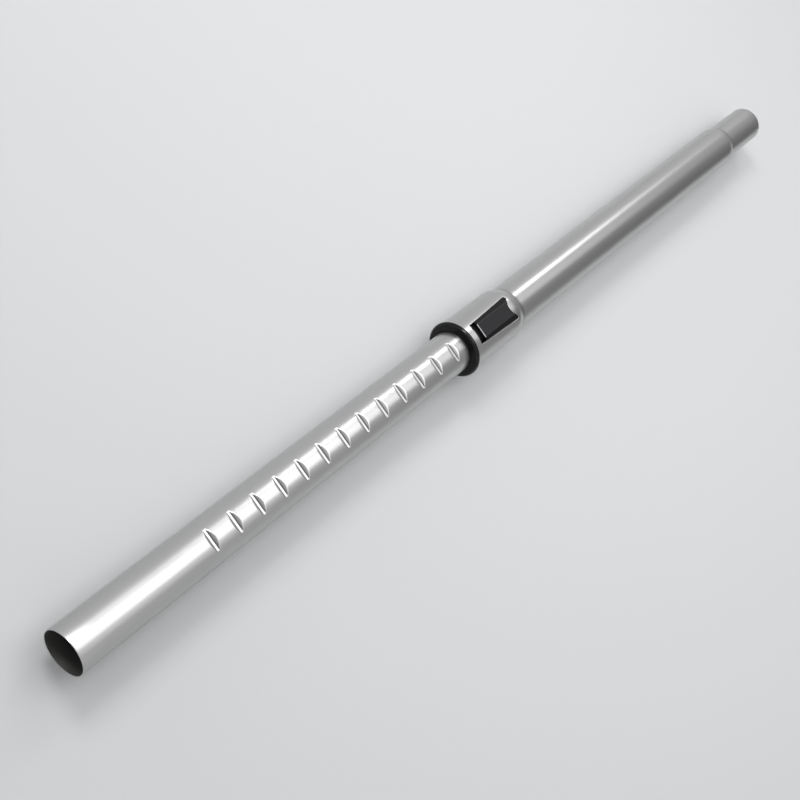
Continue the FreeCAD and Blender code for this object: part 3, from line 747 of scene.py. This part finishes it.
def shaded_bare_bore(tree, tube_at, bore_r, stretch):
    """Darker grey as painted shade, and rough, where the distance from the axis is a bore's and the station
    is in a stretch.
    """
    shader = tree.nodes["Principled BSDF"]
    middle, half = (stretch[0] + stretch[1]) / 2, (stretch[1] - stretch[0]) / 2
    in_stretch = add_node(
        tree,
        "ShaderNodeMath",
        {0: tube_at["along"], 1: (middle - HALF_LENGTH) * MM, 2: half * MM},
        operation="COMPARE",
    )
    in_bore = add_node(
        tree,
        "ShaderNodeMath",
        {0: tube_at["off_axis"], 1: (bore_r + BORE_EDGE) * MM},
        operation="LESS_THAN",
    )
    bare_and_shaded = all_of(tree, in_bore.outputs[0], in_stretch.outputs[0])
    plate_colour = shader.inputs["Base Color"].links[0].from_socket
    colour = add_node(
        tree,
        "ShaderNodeMix",
        {"Factor": bare_and_shaded, 6: plate_colour, 7: linear(BORE_SHADE_GREY)},
        data_type="RGBA",
    )
    plate_roughness = shader.inputs["Roughness"].links[0].from_socket
    dullness = add_node(tree, "ShaderNodeMix", {"Factor": bare_and_shaded, 2: plate_roughness, 3: BARE_ROUGHNESS})
    tree.links.new(colour.outputs[2], shader.inputs["Base Color"])
    tree.links.new(dullness.outputs[0], shader.inputs["Roughness"])


shaded_bare_bore(inner_tree, inner_at, INNER_R - INNER_WALL, NEAR_BORE)
shaded_bare_bore(outer_tree, outer_at, NECK_R - SHEET, HANDLE_BORE)
print("bare bores over", NEAR_BORE, "and", HANDLE_BORE)

# %% [markdown]
# ## Moulded plastic and rubber
# The collar is smooth ABS with a half gloss, the sleeve and the bush are acetal, which is waxier, and
# the ring in the bush is rubber, which is nearly matt. Their look is in the gloss: a dielectric of
# ordinary index whose highlight is broken up by a grain. Only the numbers differ, so one function serves.

# %% Plastics and rubber
def moulded_plastic(name, hex_colour, roughness, spread, grain_mm, depth_mm, specular):
    """Plastic whose grain is a noise of the given size, bumping the surface by the given depth."""
    material, tree, shader, place = new_finish(name, hex_colour, IOR=1.53, Specular_IOR_Level=specular)
    grain = add_node(
        tree, "ShaderNodeTexNoise", {"Vector": place, "Scale": 1 / (grain_mm * MM), "Detail": 4.0}
    )
    gloss = add_node(
        tree,
        "ShaderNodeMapRange",
        {
            "Value": grain.outputs[0],
            "From Min": 0.3,
            "From Max": 0.7,
            "To Min": roughness - spread,
            "To Max": roughness + spread,
        },
    )
    tree.links.new(gloss.outputs[0], shader.inputs["Roughness"])
    bump = add_node(
        tree, "ShaderNodeBump", {"Height": grain.outputs[0], "Strength": 0.5, "Distance": depth_mm * MM}
    )
    tree.links.new(bump.outputs[0], shader.inputs["Normal"])
    return material


PLASTICS = (  # name, colour, roughness and its spread, grain and its depth in mm, specular level
    ("smooth_black_abs", "#060607", 0.18, 0.03, 3.0, 0.01, 0.22),  # black, bright only along its edges
    ("black_acetal", "#0d0d0e", 0.42, 0.05, 2.0, 0.02, 0.35),  # black with a broad faint sheen
    ("white_acetal", "#dcdcd6", 0.45, 0.05, 2.0, 0.02, 0.5),  # milky with the same sheen
    ("nitrile_rubber", "#1b1b1b", 0.70, 0.08, 0.8, 0.03, 0.5),  # dark grey with no clear highlight
)
collar_abs, sleeve_acetal, bush_acetal, ring_rubber = [moulded_plastic(*row) for row in PLASTICS]
print("plastics:", [row[0] for row in PLASTICS])

# %% [markdown]
# ## The button's two finishes
# The mould gives the button's sides the collar's half gloss, but its thumb panel is spark-eroded: a fine
# even grain that scatters light and keeps a thumb from slipping. The panel is a paler grey than the
# sides, partly through that grain and partly because the sides' darker black is painted shade. Two
# materials would leave a hard line between them. One material finds the panel by how far a point lies
# from the middle plane, which is the Y of Object coordinates, and fades over the edge.

# %% Button: sides and thumb panel
# the sides' darker black is painted shade; the panel's grey is its own
SHADED_SIDE_BLACK, PANEL_BLACK = "#080809", "#1a1a1c"
SIDE_ROUGHNESS, PANEL_ROUGHNESS = 0.26, 0.5
# Spark erosion leaves grains of about 0.05 mm; 0.4 mm is as fine as the render can show.
PANEL_GRAIN_MM, PANEL_DEPTH_MM = 0.4, 0.03
button_abs, button_tree, button_shader, button_place = new_finish(
    "spark_eroded_black_abs", PANEL_BLACK, IOR=1.53, Specular_IOR_Level=0.18
)
button_axes = add_node(button_tree, "ShaderNodeSeparateXYZ", {"Vector": button_place})
from_middle = add_node(button_tree, "ShaderNodeMath", {0: button_axes.outputs["Y"]}, operation="ABSOLUTE")
on_panel = add_node(
    button_tree,
    "ShaderNodeMapRange",
    {
        "Value": from_middle.outputs[0],
        "From Min": (PANEL_HALF - PANEL_EDGE) * MM,
        "From Max": PANEL_HALF * MM,
        "To Min": 1.0,
        "To Max": 0.0,
    },
)
panel_and_shaded_sides = add_node(
    button_tree,
    "ShaderNodeMix",
    {"Factor": on_panel.outputs[0], 6: linear(SHADED_SIDE_BLACK), 7: linear(PANEL_BLACK)},
    data_type="RGBA",
)
panel_gloss = add_node(
    button_tree,
    "ShaderNodeMapRange",
    {"Value": on_panel.outputs[0], "To Min": SIDE_ROUGHNESS, "To Max": PANEL_ROUGHNESS},
)
panel_grain = add_node(
    button_tree,
    "ShaderNodeTexNoise",
    {"Vector": button_place, "Scale": 1 / (PANEL_GRAIN_MM * MM), "Detail": 3.0},
)
panel_height = add_node(
    button_tree, "ShaderNodeMath", {0: panel_grain.outputs[0], 1: on_panel.outputs[0]}, operation="MULTIPLY"
)
panel_bump = add_node(
    button_tree,
    "ShaderNodeBump",
    {"Height": panel_height.outputs[0], "Strength": 0.5, "Distance": PANEL_DEPTH_MM * MM},
)
button_tree.links.new(panel_gloss.outputs[0], button_shader.inputs["Roughness"])
button_tree.links.new(panel_bump.outputs[0], button_shader.inputs["Normal"])
print("thumb panel:", 2 * PANEL_HALF, "mm wide")

# %% [markdown]
# The panel's near edge gets a painted highlight, a pale grey line. It lies where a point is near the end
# of the button, not far down its front face, and on the panel.

# %% Button: painted highlight on the near edge
# painted highlight: a pale grey on the panel's near edge
PAINTED_HIGHLIGHT_GREY = "#b8b8ba"
FRONT_MARGIN = 0.1  # the painted highlight reaches this far down the front face, mm
highlight_from = BUTTON_TOP - NAIL_EDGE * NAIL_SLOPE - FRONT_MARGIN + AXIS_HEIGHT
on_nail_edge = add_node(
    button_tree,
    "ShaderNodeMath",
    {0: button_axes.outputs["X"], 1: (BUTTON_NEAR + NAIL_EDGE - HALF_LENGTH) * MM},
    operation="LESS_THAN",
)
over_front = add_node(
    button_tree, "ShaderNodeMath", {0: button_axes.outputs["Z"], 1: highlight_from * MM}, operation="GREATER_THAN"
)
painted_highlight = all_of(button_tree, on_nail_edge.outputs[0], over_front.outputs[0], on_panel.outputs[0])
highlighted_colour = add_node(
    button_tree,
    "ShaderNodeMix",
    {"Factor": painted_highlight, 6: panel_and_shaded_sides.outputs[2], 7: linear(PAINTED_HIGHLIGHT_GREY)},
    data_type="RGBA",
)
button_tree.links.new(highlighted_colour.outputs[2], button_shader.inputs["Base Color"])
print("worn edge:", NAIL_EDGE, "mm")

# %% [markdown]
# ## Felt, ground steel and spring wire
# These pieces are inside, and show only in a section or through a gap. Felt is matted wool, so its
# colour and height both follow a fine fibrous noise. The roller is ground, and the springs are drawn
# wire, so their steel has fine lines and a wider spread of shine than the chrome.

# %% Inside finishes
# Wool fibres and grinding lines are about 0.03 mm wide; these are as fine as the render can show.
FIBRE_MM, FELT_DEPTH_MM = 0.4, 0.2
GRINDING_MM, STEEL_PATCH_MM = 0.2, 5
wiper_felt, felt_tree, felt_shader, felt_place = new_finish("pressed_wool_felt", "#3c3c3c", Roughness=0.95)
fibres = add_node(
    felt_tree, "ShaderNodeTexNoise", {"Vector": felt_place, "Scale": 1 / (FIBRE_MM * MM), "Detail": 6.0}
)
felt_shade = add_node(felt_tree, "ShaderNodeValToRGB", {"Fac": fibres.outputs[0]})
felt_shade.color_ramp.elements[0].color = linear("#262626")
felt_shade.color_ramp.elements[1].color = linear("#5a5a5a")
felt_tree.links.new(felt_shade.outputs[0], felt_shader.inputs["Base Color"])
felt_bump = add_node(
    felt_tree,
    "ShaderNodeBump",
    {"Height": fibres.outputs[0], "Strength": 0.8, "Distance": FELT_DEPTH_MM * MM},
)
felt_tree.links.new(felt_bump.outputs[0], felt_shader.inputs["Normal"])
roller_steel = chromed_steel("ground_steel", "#a8a8aa", (0.25, 0.45), GRINDING_MM, STEEL_PATCH_MM)
spring_wire = chromed_steel("drawn_spring_wire", "#9a9a9c", (0.30, 0.50), GRINDING_MM, STEEL_PATCH_MM)
print("inside:", wiper_felt.name, roller_steel.name, spring_wire.name)

# %% [markdown]
# ## Which piece wears what
# The new pieces stand for their CAD nodes and ride on the same bodies. The
# other nodes keep their CAD shape and only change their material.

# %% Bodies, slots and finishes
DRESSED = (
    (notched_tube, "inner_tube", "inner", "inner_chrome", inner_chrome),
    (flared_tube, "outer_tube", "base", "outer_chrome", outer_chrome),
    (collar, "collar_ring", "base", "collar_black", collar_abs),
    (thumb_button, "slide_button", "button", "button_black", button_abs),
)
for piece, node, body, slot, material in DRESSED:
    piece.data.materials.append(material)
    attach(piece, body)
    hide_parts(node)

KEPT = {
    "guide_sleeve": sleeve_acetal,
    "wiper_ring": wiper_felt,
    "lock_roller": roller_steel,
    "return_spring_left": spring_wire,
    "return_spring_right": spring_wire,
    "tail_bush": bush_acetal,
    "tail_ring": ring_rubber,
}
for node, material in KEPT.items():
    for material_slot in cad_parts[node].material_slots:
        material_slot.material = material
print("dressed:", len(DRESSED), "kept:", len(KEPT))

# %% [markdown]
# ## The floor
# A plain pale floor carries the wand and takes its shadow. It is a sheet of matt paper, large enough
# that the camera sees no edge.

# %% Floor
FLOOR_SIZE, FLOOR_LINES = 8.0, 9  # metres along a side, and lines of points
floor_line = np.linspace(-FLOOR_SIZE / 2, FLOOR_SIZE / 2, FLOOR_LINES)
floor_x, floor_y = np.meshgrid(floor_line, floor_line, indexing="ij")
floor_points = np.stack([floor_x, floor_y, np.zeros_like(floor_x)], axis=-1)
floor_faces = grid_faces(FLOOR_LINES, FLOOR_LINES, 0, False, False)[:, ::-1]  # turned to face up
floor_mesh = bpy.data.meshes.new("floor")
floor_mesh.from_pydata(floor_points.reshape(-1, 3).tolist(), [], floor_faces.tolist())
floor = bpy.data.objects.new("floor", floor_mesh)
bpy.context.scene.collection.objects.link(floor)
floor_mesh.materials.append(new_finish("matt_paper", "#b8b9ba", Roughness=0.9)[0])
print("floor faces:", len(floor_mesh.polygons))

# %% [markdown]
# ## The lamps
# A metal tube shows its lamps, so they are placed by working back from where the bright bands lie. A
# broad softbox overhead, with a brighter one inside it, draws the wide white band on the inner tube. A
# third carries that light on over the barrel, and a narrow strip farther along and to the side draws the
# sharp line there. Two more each do one thing: a lamp that only shiny surfaces see draws the glint on
# the collar, and one that they don't see throws the shadow.

# %% Lamps
WAND_MIDDLE = (0.0, 0.0, 0.0)


def softbox(name, centre, aim, size, radiance):
    """An area lamp facing a point; its power is its radiance times pi times its area."""
    lamp = bpy.data.lights.new(name, "AREA")
    lamp.shape = "RECTANGLE"
    lamp.size, lamp.size_y = size
    lamp.energy = radiance * np.pi * size[0] * size[1]
    box = bpy.data.objects.new(name, lamp)
    back = (Vector(centre) - Vector(aim)).normalized()
    side = (Vector((1, 0, 0)) - back * back.x).normalized()
    turn = Matrix((side, back.cross(side), back)).transposed()
    box.matrix_world = Matrix.Translation(centre) @ turn.to_4x4()
    box.visible_camera = False
    bpy.context.scene.collection.objects.link(box)
    print(name, "power:", round(lamp.energy, 2))
    return box


softbox("broad_softbox", (0.15, -0.04, 1.22), (0.15, -0.04, 0.0), size=(1.20, 2.40), radiance=0.75)
softbox("inner_softbox", (0.19, -0.02, 1.21), (0.19, -0.02, 0.0), size=(1.28, 0.90), radiance=1.8)
softbox("far_softbox", (1.25, -0.02, 1.22), (1.25, -0.02, 0.0), size=(0.90, 0.70), radiance=0.75)
softbox("strip_softbox", (1.17, 0.83, 1.22), WAND_MIDDLE, size=(0.78, 0.26), radiance=7.0)
glint = softbox("edge_softbox", (-0.57, 1.02, 1.69), WAND_MIDDLE, size=(0.60, 0.45), radiance=40.0)
glint.visible_diffuse = False  # it only draws the glint on the collar
key = softbox("key_softbox", (-0.1, 1.5, 1.6), WAND_MIDDLE, size=(0.60, 0.60), radiance=16.0)
key.visible_glossy = False  # it only throws the shadow, the metal mirrors the other lamps

# %% [markdown]
# ## The room
# The rest of the room is a plain grey that the metal mirrors. A picture of a studio could serve, but a
# few ramps over the direction of sight are enough: pale walls, a dark ceiling, and a far end that is lit
# from one side only, so the barrel darkens away from the lamps. The near end is dark in its middle and
# brightens upwards and outwards, which the notches' far flanks mirror.

# %% Room
WALL_GREY = 0.74
ROOM_RAMPS = {  # axis of the sight, where on it the ramp begins and ends, and its values there
    "ceiling": ("Z", (0.55, 0.9), (1.0, 0.12)),  # dims the walls' grey overhead
    "far_end": ("X", (0.45, 0.85), (0.0, 1.0)),  # how far a sight belongs to the far end
    "far_wall": ("Y", (-0.55, 0.5), (0.12, 0.8)),  # the far end's grey, dark side to lit side
    "near_end": ("X", (-0.3, -0.1), (1.0, 0.0)),  # how far a sight belongs to the near end
    "near_wall": ("X", (-0.88, -0.4), (0.25, 1.1)),  # the near end's grey, from its middle outwards
}
world = bpy.data.worlds.new("studio")
bpy.context.scene.world = world
world.use_nodes = True
room = world.node_tree
sky = add_node(room, "ShaderNodeTexCoord", {})
look = add_node(room, "ShaderNodeSeparateXYZ", {"Vector": sky.outputs["Generated"]})
ramps = {}
for ramp_name, (axis, ends, values) in ROOM_RAMPS.items():
    ramp = add_node(
        room,
        "ShaderNodeMapRange",
        {
            "Value": look.outputs[axis],
            "From Min": ends[0],
            "From Max": ends[1],
            "To Min": values[0],
            "To Max": values[1],
        },
    )
    ramps[ramp_name] = ramp.outputs[0]
wall = add_node(room, "ShaderNodeMix", {0: ramps["far_end"], 2: WALL_GREY, 3: ramps["far_wall"]})
lit_room = add_node(
    room, "ShaderNodeMath", {0: wall.outputs[0], 1: ramps["ceiling"]}, operation="MULTIPLY"
)
grey = add_node(
    room, "ShaderNodeMix", {0: ramps["near_end"], 2: lit_room.outputs[0], 3: ramps["near_wall"]}
)
room.links.new(grey.outputs[0], room.nodes["Background"].inputs["Strength"])
room.nodes["Background"].inputs["Color"].default_value = linear("#ffffff")
print("room ramps:", sorted(ramps))

# %% [markdown]
# ## The camera
# The camera stands over the near end, turned so that the wand rises to the upper right. A Track To
# constraint could aim it, but not roll it, so its three axes are worked out: back from the target to the
# eye, a level right, and that right turned about the line of sight by the roll.

# %% Camera
EYE = Vector((-0.79858, 0.05287, 0.81488))
TARGET = Vector((-0.13437, -0.00501, 0.0241))
ROLL = np.radians(58.398)
LENS_MM, SENSOR_MM = 60.956, 36.0
camera_data = bpy.data.cameras.new("camera")
camera_data.lens, camera_data.sensor_width = LENS_MM, SENSOR_MM
camera = bpy.data.objects.new("camera", camera_data)
look_back = (EYE - TARGET).normalized()
level = Vector((0, 0, 1)).cross(look_back).normalized()
camera_right = level * np.cos(ROLL) + look_back.cross(level) * np.sin(ROLL)
camera_turn = Matrix((camera_right, look_back.cross(camera_right), look_back)).transposed()
camera.matrix_world = Matrix.Translation(EYE) @ camera_turn.to_4x4()
bpy.context.scene.collection.objects.link(camera)
bpy.context.scene.camera = camera
bpy.context.scene.view_settings.view_transform = "Standard"
print("camera right:", camera_right)
